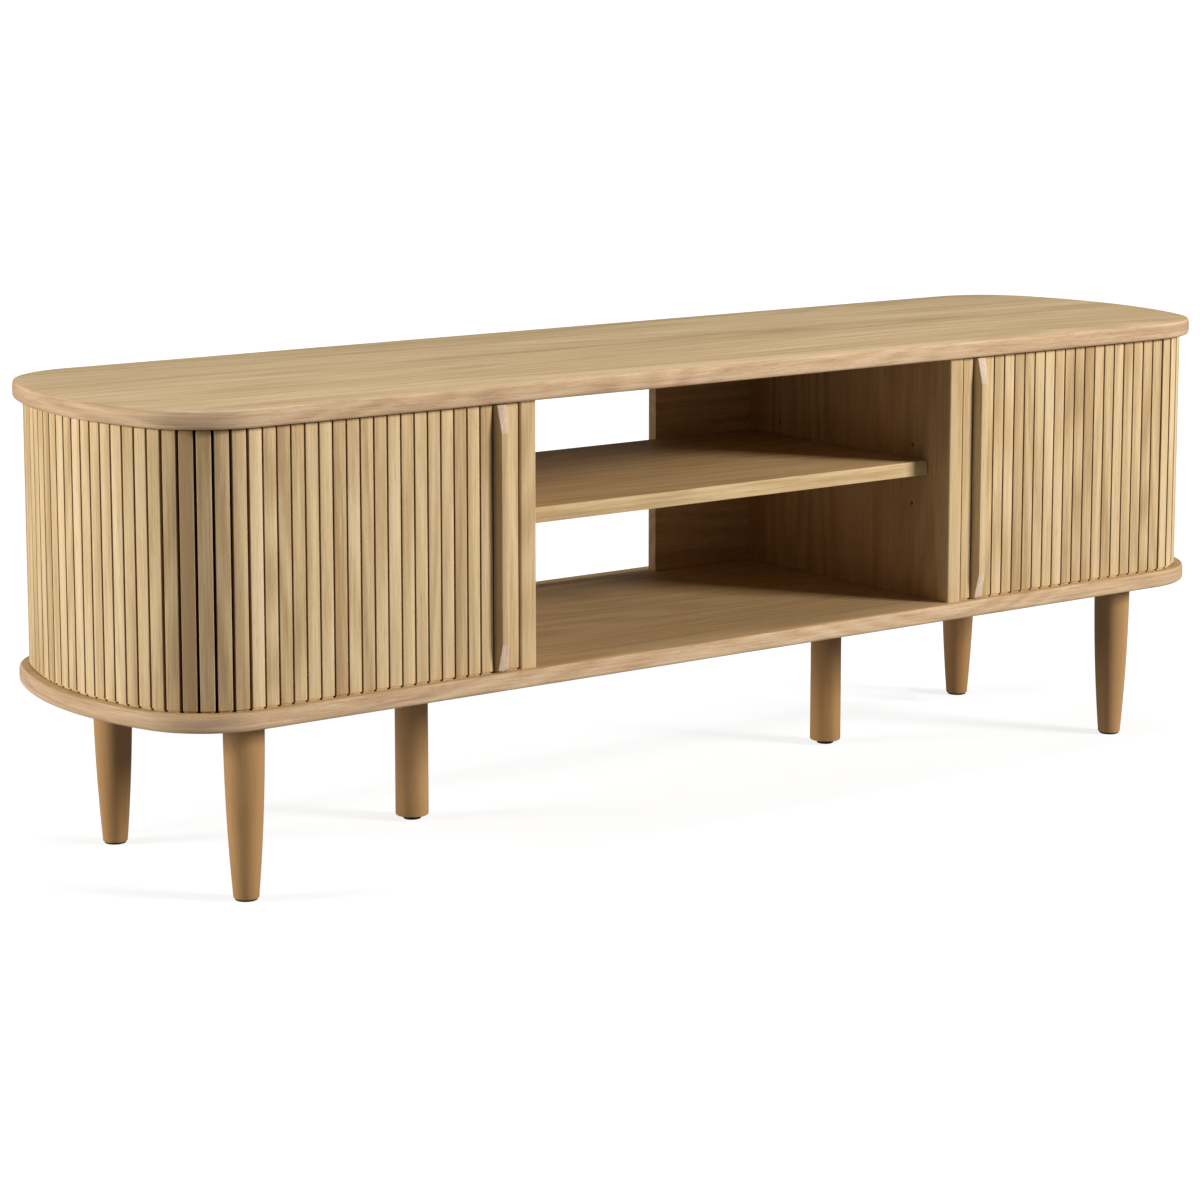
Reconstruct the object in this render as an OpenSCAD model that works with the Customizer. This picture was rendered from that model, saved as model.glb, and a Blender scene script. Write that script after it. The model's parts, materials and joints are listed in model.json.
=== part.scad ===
// Low media cabinet on six turned legs. Two slatted roll-front doors (tambours) run in
// grooves round its rounded ends, and an open bay with one shelf sits between them.
// Z = 0 is the floor, X runs along the length, and the front faces -Y. All sizes in mm.

/* [Overall] */
// Length of the top and bottom panels
cabinet_w = 1600; // [1500:10:1800]
// Depth of the top and bottom panels
cabinet_d = 432; // [424:2:440]
// Height from the floor to the top surface
cabinet_h = 546; // [500:1:620]
// Height of the legs, floor to underside
leg_h = 203; // [150:1:240]
// Thickness of the top and bottom panels
panel_t = 20; // [18:1:24]

/* [Rounded ends] */
// Radius of the four corners of the panels
corner_r = 109; // [105:1:112]
// Radius of the gently bowed ends between the corners
end_r = 417; // [380:1:460]
// How far the panels overhang the outer face of the slats
overhang = 11.5; // [11:0.5:13]

/* [Open bay] */
// Half the clear width of the open bay
bay_half_w = 311; // [300:1:320]
// Half the width of the gap between the two back panels
back_gap_half_w = 154; // [100:1:180]
// Thickness of the dividers and the shelves
board_t = 18; // [17:1:19]
// Thickness of the back panels and the inner sides
thin_board_t = 15; // [14:1:15]
// Front face of the back panels, behind the centre line
back_y = 179; // [178:1:179]

/* [Roll-front doors] */
// Distance from one slat to the next
slat_pitch = 17.32; // [17.2:0.01:17.4]
// Width of one slat
slat_w = 15.5; // [14:0.1:16]
// Thickness of one slat
slat_t = 8; // [7.5:0.1:8]
// Slats that fold away as a door opens
front_count = 17; // [17:1:17]
// Slats that follow the rounded end to the back
end_count = 31; // [30:1:33]

/* [Legs] */
// Diameter of a corner leg at its top
leg_top_d = 45.4; // [40:0.2:50]
// Diameter of a corner leg at its foot
leg_foot_d = 28.4; // [24:0.2:34]
// Diameter of a centre leg
centre_leg_d = 39.4; // [36:0.2:42]

/* [Shelves] */
// Height of the holes that the shelf pins sit in
pin_row_z = 376; // [370:1:384]
// Distance from one row of pin holes to the next
pin_row_step = 36.5; // [32:0.5:40]
// Radius of a shelf pin
pin_r = 2.45; // [2.4:0.01:2.45]

/* [Hidden] */
$fn = 48;

veneer = "burlywood";
solid_oak = "tan";
turned_wood = "peru";
metal = "silver";
black = "dimgray";
cloth = "wheat";

// Heights of the carcass
floor_z = leg_h;
bay_z = floor_z + panel_t;
ceiling_z = cabinet_h - panel_t;
bay_h = ceiling_z - bay_z;
wall_gap = 0.1; // clearance between a fastener and its bore

// Plan of the rounded ends: a bowed arc blends into a tighter corner arc
bow_x = cabinet_w / 2 - end_r;
corner_y = cabinet_d / 2 - corner_r;
blend_a = acos(corner_y / (end_r - corner_r));
corner_x = bow_x + (end_r - corner_r) * sin(blend_a);
corner_steps = 14;
bow_steps = 10;

// Post, doors and tracks
post_w = 21.5;
post_proud = 2;
post_depth = 25;
post_round = 2.5;
slat_y = cabinet_d / 2 - overhang;
door_gap = 0.9; // between the post and the closed door
door_x = bay_half_w + post_w + door_gap;
slat_clear = 2;
tongue_h = 7.5;
tongue_t = 3.6;
tongue_out = 2.2;
slat_chamfer = 1.2;
track_depth = 8;
track_side = 0.6;
track_start = 0.7; // how far a track runs past the closed door
canvas_inset = overhang + slat_t;
canvas_gap = 0.06;
canvas_t = 0.8;
canvas_margin = 8; // bare slat above and below the cloth
canvas_seam = 0.2; // from a stretch of cloth to the end of its slats
track_end_x = back_gap_half_w + 20;

// Handle bar on the second slat
handle_out = 11.3;
handle_end_out = 4.8;
handle_slope = 31;
handle_face_w = 9.6;
handle_foot_side = 0.4; // bare slat at each side of the bar
handle_slat_chamfer = 0.4;
handle_screw_end = 52;
handle_screw_z = [bay_z + handle_screw_end, ceiling_z - handle_screw_end];
screw_r = 1.9;
screw_head_r = 3.6;
screw_head_l = 2;
screw_l = 15;

// Boards behind the doors
inner_side_x = 657;
back_panel_end_x = inner_side_x + thin_board_t;
board_front_y = slat_y + post_proud - post_depth;
inner_side_front_y = 150;
cover_t = 5;
cover_behind = 1.8; // from the slats' outer faces to the cover
cover_y = slat_y + cover_behind;
cover_x = [320, 700];
cover_tongue = 5;
cover_slot_gap = [0.2, 0.1, 0.5]; // along, across and at the bottom of the slot
cover_slot = cover_tongue + cover_slot_gap[2];

// Shelves and their pins
pin_y = [-138.5, 118.7];
pin_hole_gap = 0.05;
pin_hole_depth = 8;
pin_out = 8.5;
shelf_gap = 1.5;
shelf_z = pin_row_z + pin_r;
centre_shelf_front_y = 167.5;
side_shelf_front_y = 160;
shelf_back_gap = 0.5;

// Legs
leg_x = 657;
leg_y = 147;
centre_leg_x = 321.5;
centre_leg_y = 34;
pad_h = 2;
pad_r = 12.5;
glide_h = 5;
glide_r = 10.8;
glide_stud_r = 4;
glide_stud_l = 35;
foot_chamfer = 1.6;
bolt_r = 4;
bolt_in_leg = 32;
bolt_in_panel = 12;
insert_r = 5.5;
insert_l = 13;

// Knock-down fittings
dowel_r = 4;
dowel_l = 30;
dowel_in_panel = 11;
dowel_y = [-150, 0, 150];
side_dowel_y = [-125, 0, 125];
back_dowel_x = [200, 400, 600];
cam_y = [-95, 95];
cam_r = 7.4;
cam_t = 12.7;
cam_reach = 34;
cam_bolt_short = 4; // the cam bolt ends this far short of the cam's centre and out of its reach
cam_bolt_r = 3;
cam_bolt_in_panel = 11;

// ---- plan outlines --------------------------------------------------------------

// Points of one quarter of the plan, moved in by d from the panels' edge
function quarter(d) = concat(
    [for (i = [0 : corner_steps]) let (a = blend_a * i / corner_steps)
        [corner_x + (corner_r - d) * sin(a), -corner_y - (corner_r - d) * cos(a)]],
    [for (i = [1 : bow_steps]) let (a = blend_a + (90 - blend_a) * i / bow_steps)
        [bow_x + (end_r - d) * sin(a), -(end_r - d) * cos(a)]]);

function flip(points, sx, sy) = [for (p = points) [p[0] * sx, p[1] * sy]];
function back_to_front(points) = [for (i = [len(points) - 1 : -1 : 0]) points[i]];

// The whole right-hand end as an open line from the front to the back
function end_line(d) = concat(quarter(d), back_to_front(flip(quarter(d), 1, -1)));

module panel_outline(d) {
    polygon(concat(end_line(d), back_to_front(flip(end_line(d), -1, 1))));
}

// A strip that follows the right-hand end between two insets, from x_front to x_back
module end_strip(d_out, d_in, x_front, x_back) {
    outer = concat([[x_front, -cabinet_d / 2 + d_out]], end_line(d_out),
                   [[x_back, cabinet_d / 2 - d_out]]);
    inner = concat([[x_front, -cabinet_d / 2 + d_in]], end_line(d_in),
                   [[x_back, cabinet_d / 2 - d_in]]);
    polygon(concat(outer, back_to_front(inner)));
}

// ---- the path of the roll-front doors -------------------------------------------

path_corner_r = corner_r - canvas_inset;
path_bow_r = end_r - canvas_inset;
run_front = corner_x - door_x;
run_corner = path_corner_r * blend_a * PI / 180;
run_bow = path_bow_r * (180 - 2 * blend_a) * PI / 180;
deg = 180 / PI;

// Place and heading [x, y, angle] on the cloth line, s mm from the closed edge
function on_path(s) =
    s <= run_front ? [door_x + s, -cabinet_d / 2 + canvas_inset, 0] :
    s <= run_front + run_corner ?
        around(corner_x, -corner_y, path_corner_r, (s - run_front) / path_corner_r * deg) :
    s <= run_front + run_corner + run_bow ?
        around(bow_x, 0, path_bow_r,
               blend_a + (s - run_front - run_corner) / path_bow_r * deg) :
    s <= run_front + 2 * run_corner + run_bow ?
        around(corner_x, corner_y, path_corner_r,
               180 - blend_a + (s - run_front - run_corner - run_bow) / path_corner_r * deg) :
    [corner_x - (s - run_front - 2 * run_corner - run_bow), cabinet_d / 2 - canvas_inset, 180];
function around(cx, cy, r, a) = [cx + r * sin(a), cy - r * cos(a), a];

front_end_s = (2 + front_count) * slat_pitch;
tail_s = front_end_s + end_count * slat_pitch;
tail_x = on_path(tail_s)[0];

module slat(chamfer) {
    h = bay_h - 2 * slat_clear;
    translate([0, 0, bay_z + slat_clear])
        linear_extrude(h)
            polygon([[-slat_w / 2, 0], [slat_w / 2, 0],
                     [slat_w / 2, -slat_t + chamfer], [slat_w / 2 - chamfer, -slat_t],
                     [-slat_w / 2 + chamfer, -slat_t], [-slat_w / 2, -slat_t + chamfer]]);
    translate([-slat_w / 2, -tongue_out - tongue_t, bay_z + slat_clear - tongue_h])
        cube([slat_w, tongue_t, h + 2 * tongue_h]);
}

module slat_at(index, chamfer = slat_chamfer) {
    place = on_path((index - 0.5) * slat_pitch);
    translate([place[0], place[1], 0])
        rotate([0, 0, place[2]])
            slat(chamfer);
}

module slats(first, last) {
    for (i = [first : last]) slat_at(i);
}

// Cloth glued to the inner face of the slats along the straight front run
module straight_canvas(s_from, s_to) {
    translate([door_x + s_from, -cabinet_d / 2 + canvas_inset + canvas_gap,
               bay_z + slat_clear + canvas_margin])
        cube([s_to - s_from, canvas_t, bay_h - 2 * slat_clear - 2 * canvas_margin]);
}

module end_canvas() {
    translate([0, 0, bay_z + slat_clear + canvas_margin])
        linear_extrude(bay_h - 2 * slat_clear - 2 * canvas_margin)
            end_strip(canvas_inset + canvas_gap, canvas_inset + canvas_gap + canvas_t,
                      door_x + front_end_s + 2 * canvas_seam, tail_x);
}

// ---- helpers --------------------------------------------------------------------

// The left half of the cabinet is the mirror of the right half
module side(left) {
    if (left) mirror([1, 0, 0]) children();
    else children();
}

module scale_sign(sx, sy) {
    mirror([sx < 0 ? 1 : 0, 0, 0]) mirror([0, sy < 0 ? 1 : 0, 0]) children();
}

module upright(x, y, z, r, h) {
    translate([x, y, z]) cylinder(r = r, h = h);
}

module along_x(x, y, z, r, h) {
    translate([x, y, z]) rotate([0, 90, 0]) cylinder(r = r, h = h);
}

// ---- fittings, as solids and as the bores that take them ------------------------

// Dowel places at one horizontal joint plane: [x, y] on the right-hand half
dowel_places = concat(
    [for (y = dowel_y) [bay_half_w + board_t / 2, y]],
    [for (y = side_dowel_y) [inner_side_x + thin_board_t / 2, y]],
    [for (x = back_dowel_x) [x, back_y + thin_board_t / 2]]);
cam_places = [for (x = [bay_half_w + board_t / 2, inner_side_x + thin_board_t / 2], y = cam_y)
    [x, y]];

module dowel_set(gap) {
    for (sx = [0, 1]) mirror([sx, 0, 0]) for (p = dowel_places) {
        upright(p[0], p[1], ceiling_z + dowel_in_panel - dowel_l - gap, dowel_r + gap,
                dowel_l + 2 * gap);
        upright(p[0], p[1], bay_z - dowel_in_panel - gap, dowel_r + gap, dowel_l + 2 * gap);
    }
}

module cam_bolt_set(gap) {
    l = cam_bolt_in_panel + cam_reach - cam_bolt_short;
    for (sx = [0, 1]) mirror([sx, 0, 0]) for (p = cam_places) {
        upright(p[0], p[1], ceiling_z + cam_bolt_in_panel - l - gap, cam_bolt_r + gap, l + 2 * gap);
        upright(p[0], p[1], bay_z - cam_bolt_in_panel - gap, cam_bolt_r + gap, l + 2 * gap);
    }
}

// Discs that lock on the bolts, let into the boards' faces inside the compartments
module cam_disc_set(gap) {
    for (sx = [0, 1]) mirror([sx, 0, 0]) for (y = cam_y, z = [ceiling_z - cam_reach, bay_z + cam_reach]) {
        along_x(bay_half_w + board_t - cam_t - gap, y, z, cam_r + gap, cam_t + gap + (gap > 0 ? 1 : 0));
        along_x(inner_side_x - (gap > 0 ? 1 : 0), y, z, cam_r + gap, cam_t + gap + (gap > 0 ? 1 : 0));
    }
}

leg_centres = concat([for (sx = [-1, 1], sy = [-1, 1]) [sx * leg_x, sy * leg_y]],
                     [for (sx = [-1, 1]) [sx * centre_leg_x, centre_leg_y]]);

module insert_set(gap) {
    for (c = leg_centres) upright(c[0], c[1], floor_z - gap, insert_r + gap, insert_l + 2 * gap);
}

module bolt_set(gap) {
    for (c = leg_centres)
        upright(c[0], c[1], floor_z - bolt_in_leg - gap, bolt_r + gap,
                bolt_in_leg + bolt_in_panel + 2 * gap);
}

module pin_holes(x, into) {
    for (y = pin_y, row = [-1 : 1])
        along_x(into > 0 ? x : x - pin_hole_depth, y, pin_row_z + row * pin_row_step,
                pin_r + pin_hole_gap, pin_hole_depth);
}

module pin_row(x, into) {
    for (y = pin_y)
        along_x(into > 0 ? x - pin_out : x - pin_hole_depth, y, pin_row_z, pin_r,
                pin_hole_depth + pin_out);
}

// ---- carcass --------------------------------------------------------------------

// The groove that the slats' tongues run in, and the slot that holds the back cover
module track_cut(track_z, cover_z) {
    for (sx = [0, 1]) mirror([sx, 0, 0]) {
        translate([0, 0, track_z]) linear_extrude(track_depth)
            end_strip(canvas_inset - tongue_out - tongue_t - track_side,
                      canvas_inset - tongue_out + track_side,
                      door_x - track_start, track_end_x);
        translate([cover_x[0] - cover_slot_gap[0], cover_y - cover_slot_gap[1], cover_z])
            cube([cover_x[1] - cover_x[0] + 2 * cover_slot_gap[0],
                  cover_t + 2 * cover_slot_gap[1], cover_slot]);
    }
}

module top_panel() {
    color(veneer) difference() {
        translate([0, 0, ceiling_z]) linear_extrude(panel_t) panel_outline(0);
        track_cut(ceiling_z, ceiling_z);
        dowel_set(wall_gap);
        cam_bolt_set(wall_gap);
    }
}

module bottom_panel() {
    color(veneer) difference() {
        translate([0, 0, floor_z]) linear_extrude(panel_t) panel_outline(0);
        track_cut(bay_z - track_depth, bay_z - cover_slot);
        dowel_set(wall_gap);
        cam_bolt_set(wall_gap);
        insert_set(wall_gap);
    }
}

module divider() {
    color(veneer) difference() {
        translate([bay_half_w, -board_front_y, bay_z])
            cube([board_t, board_front_y + back_y, bay_h]);
        dowel_set(wall_gap);
        cam_bolt_set(wall_gap);
        cam_disc_set(wall_gap);
        pin_holes(bay_half_w, 1);
        pin_holes(bay_half_w + board_t, -1);
    }
}

module post() {
    front = slat_y + post_proud;
    color(solid_oak) translate([bay_half_w, -front, bay_z]) linear_extrude(bay_h) {
        translate([0, post_round]) square([post_w, post_depth - post_round]);
        translate([post_round, 0]) square([post_w - 2 * post_round, post_round]);
        translate([post_round, post_round]) circle(r = post_round);
        translate([post_w - post_round, post_round]) circle(r = post_round);
    }
}

module inner_side() {
    color(veneer) difference() {
        translate([inner_side_x, -inner_side_front_y, bay_z])
            cube([thin_board_t, inner_side_front_y + back_y, bay_h]);
        dowel_set(wall_gap);
        cam_bolt_set(wall_gap);
        cam_disc_set(wall_gap);
        pin_holes(inner_side_x, 1);
    }
}

module back_panel() {
    color(veneer) difference() {
        translate([back_gap_half_w, back_y, bay_z])
            cube([back_panel_end_x - back_gap_half_w, thin_board_t, bay_h]);
        dowel_set(wall_gap);
    }
}

module back_cover() {
    color(veneer) translate([cover_x[0], cover_y, bay_z - cover_tongue])
        cube([cover_x[1] - cover_x[0], cover_t, bay_h + 2 * cover_tongue]);
}

// ---- shelves --------------------------------------------------------------------

module shelf(x_from, x_to, front_y) {
    color(veneer) translate([x_from + shelf_gap, -front_y, shelf_z])
        cube([x_to - x_from - 2 * shelf_gap, front_y + back_y - shelf_back_gap, board_t]);
}

module centre_shelf_pins() {
    color(metal) for (sx = [0, 1]) mirror([sx, 0, 0]) pin_row(bay_half_w, 1);
}

module side_shelf_pins() {
    color(metal) {
        pin_row(bay_half_w + board_t, -1);
        pin_row(inner_side_x, 1);
    }
}

// ---- doors ----------------------------------------------------------------------

module handle_screw_holes(gap) {
    x = door_x + 1.5 * slat_pitch;
    back = -cabinet_d / 2 + canvas_inset;
    for (z = handle_screw_z) translate([x, back, z]) rotate([90, 0, 0]) {
        cylinder(r = screw_r + gap, h = screw_l + gap);
        cylinder(r1 = screw_head_r + gap, r2 = screw_r + gap, h = screw_head_l + gap);
    }
}

module handle_slat() {
    color(solid_oak) difference() {
        slat_at(2, handle_slat_chamfer);
        handle_screw_holes(wall_gap);
    }
}

// A bar with tapering sides whose two ends slope down to the slat
module handle() {
    x = door_x + 1.5 * slat_pitch;
    z0 = bay_z + slat_clear;
    h = bay_h - 2 * slat_clear;
    foot_w = slat_w - 2 * handle_foot_side;
    color(solid_oak) difference() {
        intersection() {
            translate([x, -slat_y, z0]) linear_extrude(h)
                polygon([[-foot_w / 2, 0], [-handle_face_w / 2, -handle_out],
                         [handle_face_w / 2, -handle_out], [foot_w / 2, 0]]);
            translate([x - slat_w, -slat_y, z0]) rotate([90, 0, 90]) linear_extrude(2 * slat_w)
                polygon([[0, 0], [-handle_end_out, 0], [-handle_out, handle_slope],
                         [-handle_out, h - handle_slope], [-handle_end_out, h], [0, h]]);
        }
        handle_screw_holes(wall_gap);
    }
}

module handle_screws() {
    color(metal) handle_screw_holes(0);
}

module lead_slat() { color(solid_oak) slat_at(1); }
module front_slats() { color(solid_oak) slats(3, 2 + front_count); }
module end_slats() { color(solid_oak) slats(3 + front_count, 2 + front_count + end_count); }
module lead_canvas() { color(cloth) straight_canvas(door_gap, 2 * slat_pitch - canvas_seam); }
module front_canvas() { color(cloth) straight_canvas(2 * slat_pitch + canvas_seam, front_end_s); }
module tail_canvas() { color(cloth) end_canvas(); }

// ---- legs -----------------------------------------------------------------------

// Radius of a corner leg, a share t of the way down from its top to its foot
function leg_r(t) = leg_top_d / 2 - (leg_top_d - leg_foot_d) / 2 * t * t;

// A turned leg that tapers ever faster from a wide top to a narrow, chamfered foot
module corner_leg(sx, sy) {
    h = leg_h - pad_h;
    steps = 14;
    t_foot = 1 - foot_chamfer / h;
    profile = concat([[0, h]],
        [for (i = [0 : steps]) let (t = t_foot * i / steps) [leg_r(t), h * (1 - t)]],
        [[leg_foot_d / 2 - foot_chamfer, 0], [0, 0]]);
    color(turned_wood) scale_sign(sx, sy) translate([leg_x, leg_y, pad_h]) difference() {
        rotate_extrude() polygon(profile);
        translate([0, 0, h - bolt_in_leg - wall_gap])
            cylinder(r = bolt_r + wall_gap, h = bolt_in_leg + 1);
    }
}

module centre_leg() {
    h = leg_h - glide_h;
    color(turned_wood) translate([centre_leg_x, centre_leg_y, glide_h]) difference() {
        union() {
            cylinder(r1 = centre_leg_d / 2 - foot_chamfer, r2 = centre_leg_d / 2, h = foot_chamfer);
            translate([0, 0, foot_chamfer]) cylinder(d = centre_leg_d, h = h - foot_chamfer);
        }
        translate([0, 0, -1]) cylinder(r = glide_stud_r + wall_gap, h = glide_stud_l + 3);
        translate([0, 0, h - bolt_in_leg - wall_gap])
            cylinder(r = bolt_r + wall_gap, h = bolt_in_leg + 1);
    }
}

// A levelling foot: a round pad on a threaded stud that turns in the leg
module glide() {
    pad = glide_h - 0.5;
    color(black) translate([centre_leg_x, centre_leg_y, 0]) {
        cylinder(r = glide_r, h = pad);
        translate([0, 0, pad]) cylinder(r = glide_stud_r, h = glide_stud_l);
    }
}

module leg_pads() {
    color(black) for (sx = [-1, 1], sy = [-1, 1]) upright(sx * leg_x, sy * leg_y, 0, pad_r, pad_h);
}

module leg_bolts() {
    color(metal) bolt_set(0);
}

module leg_inserts() {
    color(metal) difference() {
        insert_set(0);
        bolt_set(0.05);
    }
}

module dowels() {
    color(solid_oak) dowel_set(0);
}

module cam_bolts() {
    color(metal) cam_bolt_set(0);
}

module cam_locks() {
    color(metal) difference() {
        cam_disc_set(0);
        cam_bolt_set(wall_gap);
    }
}

// ---- nodes ----------------------------------------------------------------------

top_panel();
bottom_panel();
side(true) divider();  // left_divider
side(false) divider();  // right_divider
side(true) post();  // left_post
side(false) post();  // right_post
side(true) inner_side();  // left_inner_side
side(false) inner_side();  // right_inner_side
side(true) back_panel();  // left_back_panel
side(false) back_panel();  // right_back_panel
side(true) back_cover();  // left_back_cover
side(false) back_cover();  // right_back_cover
shelf(-bay_half_w, bay_half_w, centre_shelf_front_y);  // centre_shelf
side(true) shelf(bay_half_w + board_t, inner_side_x, side_shelf_front_y);  // left_shelf
side(false) shelf(bay_half_w + board_t, inner_side_x, side_shelf_front_y);  // right_shelf
centre_shelf_pins();
side(true) side_shelf_pins();  // left_shelf_pins
side(false) side_shelf_pins();  // right_shelf_pins
side(true) lead_slat();  // left_lead_slat
side(true) handle_slat();  // left_handle_slat
side(true) handle();  // left_handle
side(true) handle_screws();  // left_handle_screws
side(true) lead_canvas();  // left_lead_canvas
side(true) front_slats();  // left_front_slats
side(true) front_canvas();  // left_front_canvas
side(true) end_slats();  // left_end_slats
side(true) tail_canvas();  // left_end_canvas
side(false) lead_slat();  // right_lead_slat
side(false) handle_slat();  // right_handle_slat
side(false) handle();  // right_handle
side(false) handle_screws();  // right_handle_screws
side(false) lead_canvas();  // right_lead_canvas
side(false) front_slats();  // right_front_slats
side(false) front_canvas();  // right_front_canvas
side(false) end_slats();  // right_end_slats
side(false) tail_canvas();  // right_end_canvas
corner_leg(-1, -1);  // front_left_leg
corner_leg(-1, 1);  // back_left_leg
corner_leg(1, -1);  // front_right_leg
corner_leg(1, 1);  // back_right_leg
side(true) centre_leg();  // left_centre_leg
side(false) centre_leg();  // right_centre_leg
side(true) glide();  // left_glide
side(false) glide();  // right_glide
leg_pads();
leg_bolts();
leg_inserts();
dowels();
cam_bolts();
cam_locks();
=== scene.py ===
"""The media cabinet's looks: wood, cloth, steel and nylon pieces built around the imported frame."""

import math

import bmesh
import bpy
import numpy as np
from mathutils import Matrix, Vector, kdtree
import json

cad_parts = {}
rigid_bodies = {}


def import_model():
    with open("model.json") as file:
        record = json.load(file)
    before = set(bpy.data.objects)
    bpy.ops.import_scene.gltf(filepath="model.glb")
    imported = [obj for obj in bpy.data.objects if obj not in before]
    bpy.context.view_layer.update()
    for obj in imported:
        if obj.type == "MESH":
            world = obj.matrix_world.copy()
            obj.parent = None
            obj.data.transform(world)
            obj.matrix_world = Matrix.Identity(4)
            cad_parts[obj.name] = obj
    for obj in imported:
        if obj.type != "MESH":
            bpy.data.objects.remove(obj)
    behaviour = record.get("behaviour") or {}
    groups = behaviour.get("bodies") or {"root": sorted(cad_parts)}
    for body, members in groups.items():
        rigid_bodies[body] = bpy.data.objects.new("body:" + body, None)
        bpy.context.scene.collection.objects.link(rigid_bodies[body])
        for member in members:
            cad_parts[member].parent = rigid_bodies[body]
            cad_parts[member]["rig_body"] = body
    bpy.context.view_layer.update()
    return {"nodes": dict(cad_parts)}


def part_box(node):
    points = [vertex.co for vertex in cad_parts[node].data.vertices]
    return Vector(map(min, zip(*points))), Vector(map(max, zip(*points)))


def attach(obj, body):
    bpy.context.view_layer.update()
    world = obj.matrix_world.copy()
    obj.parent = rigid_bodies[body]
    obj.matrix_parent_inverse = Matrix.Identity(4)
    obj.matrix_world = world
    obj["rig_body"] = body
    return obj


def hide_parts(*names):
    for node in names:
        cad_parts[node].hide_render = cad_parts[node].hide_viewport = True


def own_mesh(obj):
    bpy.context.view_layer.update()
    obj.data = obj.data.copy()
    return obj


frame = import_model()
NODES = frame["nodes"]
rng = np.random.default_rng(17)

# ---- sizes, in metres, from the frame where it has them ---------------------------

TOP_LO, TOP_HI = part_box("top_panel")
HALF_W = TOP_HI.x
HALF_D = TOP_HI.y
CORNER_R = 0.109
END_R = 0.417
BOW_X = HALF_W - END_R
CORNER_Y = HALF_D - CORNER_R
BLEND = math.acos(CORNER_Y / (END_R - CORNER_R))
CORNER_X = BOW_X + (END_R - CORNER_R) * math.sin(BLEND)
BAY_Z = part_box("bottom_panel")[1].z
CEILING_Z = TOP_LO.z
CORNER_STEPS = 26
BOW_STEPS = 14

OVERHANG = 0.0115
PITCH = 0.01732
SLAT_W = 0.0155
SLAT_T = 0.008
SLAT_CLEAR = 0.002
FRONT_COUNT = 17
END_COUNT = 31
DOOR_X = 0.3334
DOOR_GAP = 0.0009
CLOTH_INSET = OVERHANG + SLAT_T
TONGUE_OUT = 0.0022
TONGUE_T = 0.0036
TONGUE_H = 0.0075
TRACK_DEPTH = 0.008
TRACK_SIDE = 0.0006
TRACK_START = 0.0007
TRACK_END_X = 0.174
PAST_FACE = 0.001
SLAT_Z0 = BAY_Z + SLAT_CLEAR
SLAT_Z1 = CEILING_Z - SLAT_CLEAR


# ---- materials --------------------------------------------------------------------

def add_node(tree, kind, inputs=None, **props):
    """A new node; an input is either a value or the socket that feeds it."""
    made = tree.nodes.new(kind)
    for key, value in props.items():
        setattr(made, key, value)
    for key, value in (inputs or {}).items():
        if isinstance(value, bpy.types.NodeSocket):
            tree.links.new(value, made.inputs[key])
        else:
            made.inputs[key].default_value = value
    return made


def math_node(tree, operation, a, b, clamp=False):
    made = add_node(tree, "ShaderNodeMath", {0: a, 1: b}, operation=operation, use_clamp=clamp)
    return made.outputs[0]


def scaled(tree, vector, scale):
    made = add_node(tree, "ShaderNodeVectorMath", {0: vector, 1: scale}, operation="MULTIPLY")
    return made.outputs[0]


def noise(tree, vector, scale, detail=2.0, rough=0.5):
    inputs = {"Vector": scaled(tree, vector, scale), "Scale": 1.0, "Detail": detail,
              "Roughness": rough}
    return add_node(tree, "ShaderNodeTexNoise", inputs)


def ramp(tree, value, stops):
    made = add_node(tree, "ShaderNodeValToRGB", {"Fac": value})
    elements = made.color_ramp.elements
    while len(elements) < len(stops):
        elements.new(0.5)
    for element, (position, colour) in zip(elements, stops):
        element.position = position
        element.color = (*colour, 1.0)
    return made.outputs["Color"]


def mix_colour(tree, fac, a, b):
    return add_node(tree, "ShaderNodeMix", {0: fac, 6: a, 7: b}, data_type="RGBA").outputs[2]


def add_relief(tree, bsdf, strength, distance, height):
    made = add_node(tree, "ShaderNodeBump",
                    {"Strength": strength, "Distance": distance, "Height": height})
    tree.links.new(made.outputs[0], bsdf.inputs["Normal"])


def new_material(name):
    material = bpy.data.materials.new(name)
    material.use_nodes = True
    return material, material.node_tree, material.node_tree.nodes["Principled BSDF"]


# Features of oak to the metre, along the fibres and across them twice
WANDER = (2.2, 14, 14)
BROAD = (1.3, 17, 17)
CONTOUR = (1.0, 8.5, 8.5)
FIBRE = (7.0, 330, 330)
FINE_FIBRE = (30.0, 1150, 1150)
PORE = (42.0, 980, 980)
WANDER_REACH = 0.012
RINGS_IN_CONTOUR = 85.0
RING_WEIGHT = 0.2
GLOSS_SPREAD = 0.22
PORE_DEPTH = 0.00025


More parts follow.
